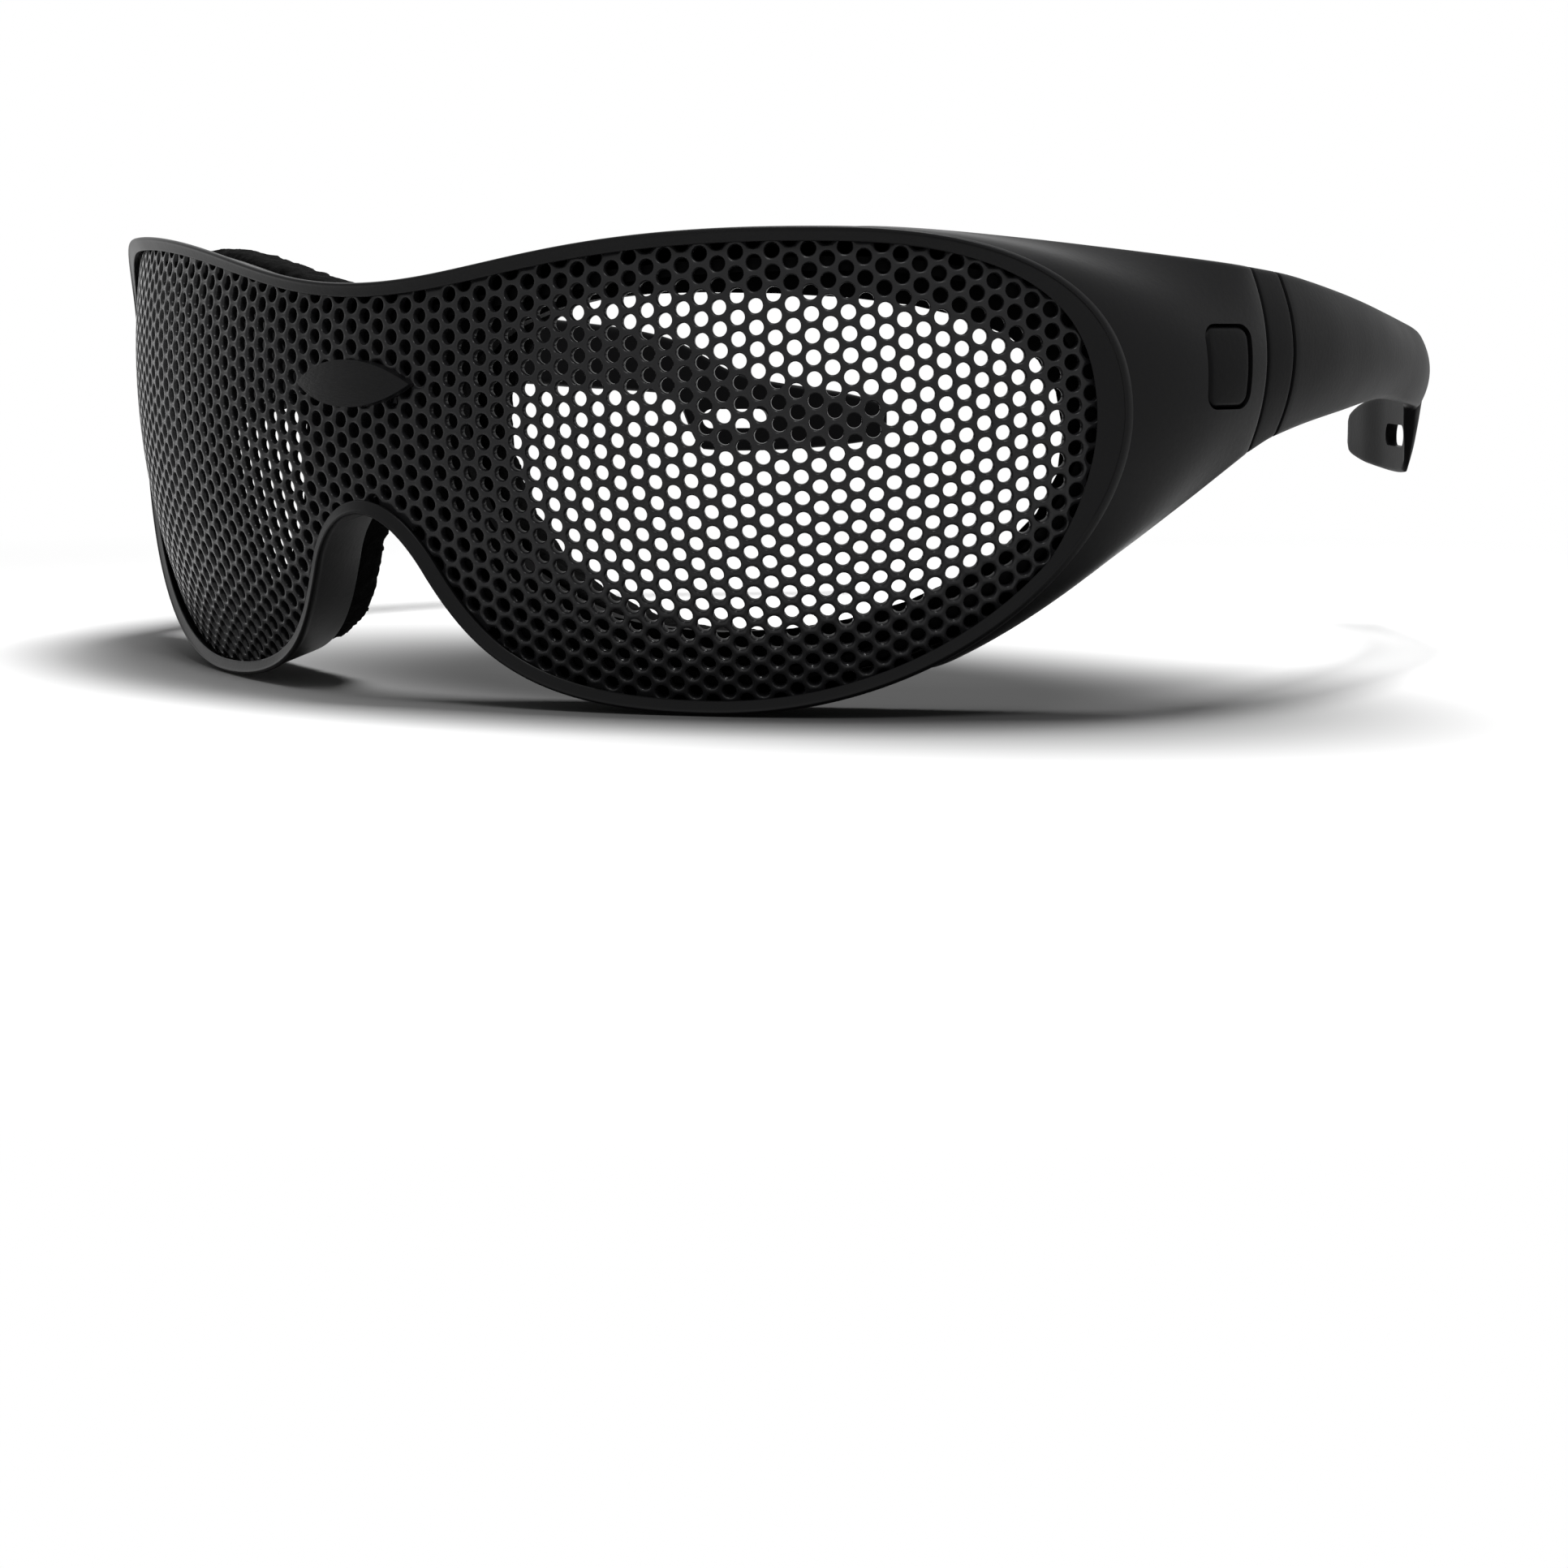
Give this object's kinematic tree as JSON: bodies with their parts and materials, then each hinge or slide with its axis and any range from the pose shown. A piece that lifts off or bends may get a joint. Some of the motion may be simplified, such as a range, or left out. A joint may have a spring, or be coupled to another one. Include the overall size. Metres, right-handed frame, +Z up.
{
  "type": "mesh goggles",
  "caption": "Wrap-round goggles with a perforated metal screen in a moulded frame, a foam face gasket and folding arms that end in curled, slotted tips.",
  "frame": {"origin": "under the middle of the box, at the height of the mask's lowest edge, with the arms open", "axes": "+Z up, the screen faces -Y, the arms run back along +Y; left and right are as seen from the front, so left is -X"},
  "size_m": [0.1788, 0.1766, 0.0574],
  "materials": {
    "frame_plastic": "matte moulded, fine texture",
    "inner_plastic": "matte moulded",
    "arm_plastic": "matte moulded, fine texture",
    "button_plastic": "matte moulded",
    "badge_plastic": "fine-textured matte, no marking",
    "screen_steel": "satin black coating on perforated sheet",
    "foam": "rough open-cell foam, black",
    "clip_steel": "plain spring strip",
    "pin_steel": "ground",
    "spring_steel": "plain spring strip"
  },
  "bodies": {
    "mask": {"front_frame": "frame_plastic", "mesh_screen": "screen_steel", "inner_frame": "inner_plastic", "face_gasket": "foam", "badge": "badge_plastic", "badge_clip": "clip_steel", "hinge_block_left": "frame_plastic", "hinge_block_right": "frame_plastic", "hinge_pin_left": "pin_steel", "hinge_pin_right": "pin_steel", "button_spring_left": "spring_steel", "button_spring_right": "spring_steel"},
    "arm_left": {"arm_left": "arm_plastic"},
    "arm_right": {"arm_right": "arm_plastic"},
    "release_button_left": {"release_button_left": "button_plastic"},
    "release_button_right": {"release_button_right": "button_plastic"}
  },
  "joints": [
    {"name": "arm_left_fold", "type": "hinge", "parent": "mask", "child": "arm_left", "pos_m": [-0.0839, -0.01253, 0.04225], "axis": [0, 0, -1], "range_deg": [0, 90]},
    {"name": "arm_right_fold", "type": "hinge", "parent": "mask", "child": "arm_right", "pos_m": [0.0839, -0.01253, 0.04225], "axis": [0, 0, 1], "range_deg": [0, 72]},
    {"name": "release_button_left_press", "type": "slide", "parent": "mask", "child": "release_button_left", "axis": [1, 0, 0], "range_m": [0, 0.0012], "stiffness_N_per_m": 1500, "springref_m": -0.0006, "deforming": ["button_spring_left"]},
    {"name": "release_button_right_press", "type": "slide", "parent": "mask", "child": "release_button_right", "axis": [-1, 0, 0], "range_m": [0, 0.0012], "stiffness_N_per_m": 1500, "springref_m": -0.0006, "deforming": ["button_spring_right"]}
  ]
}
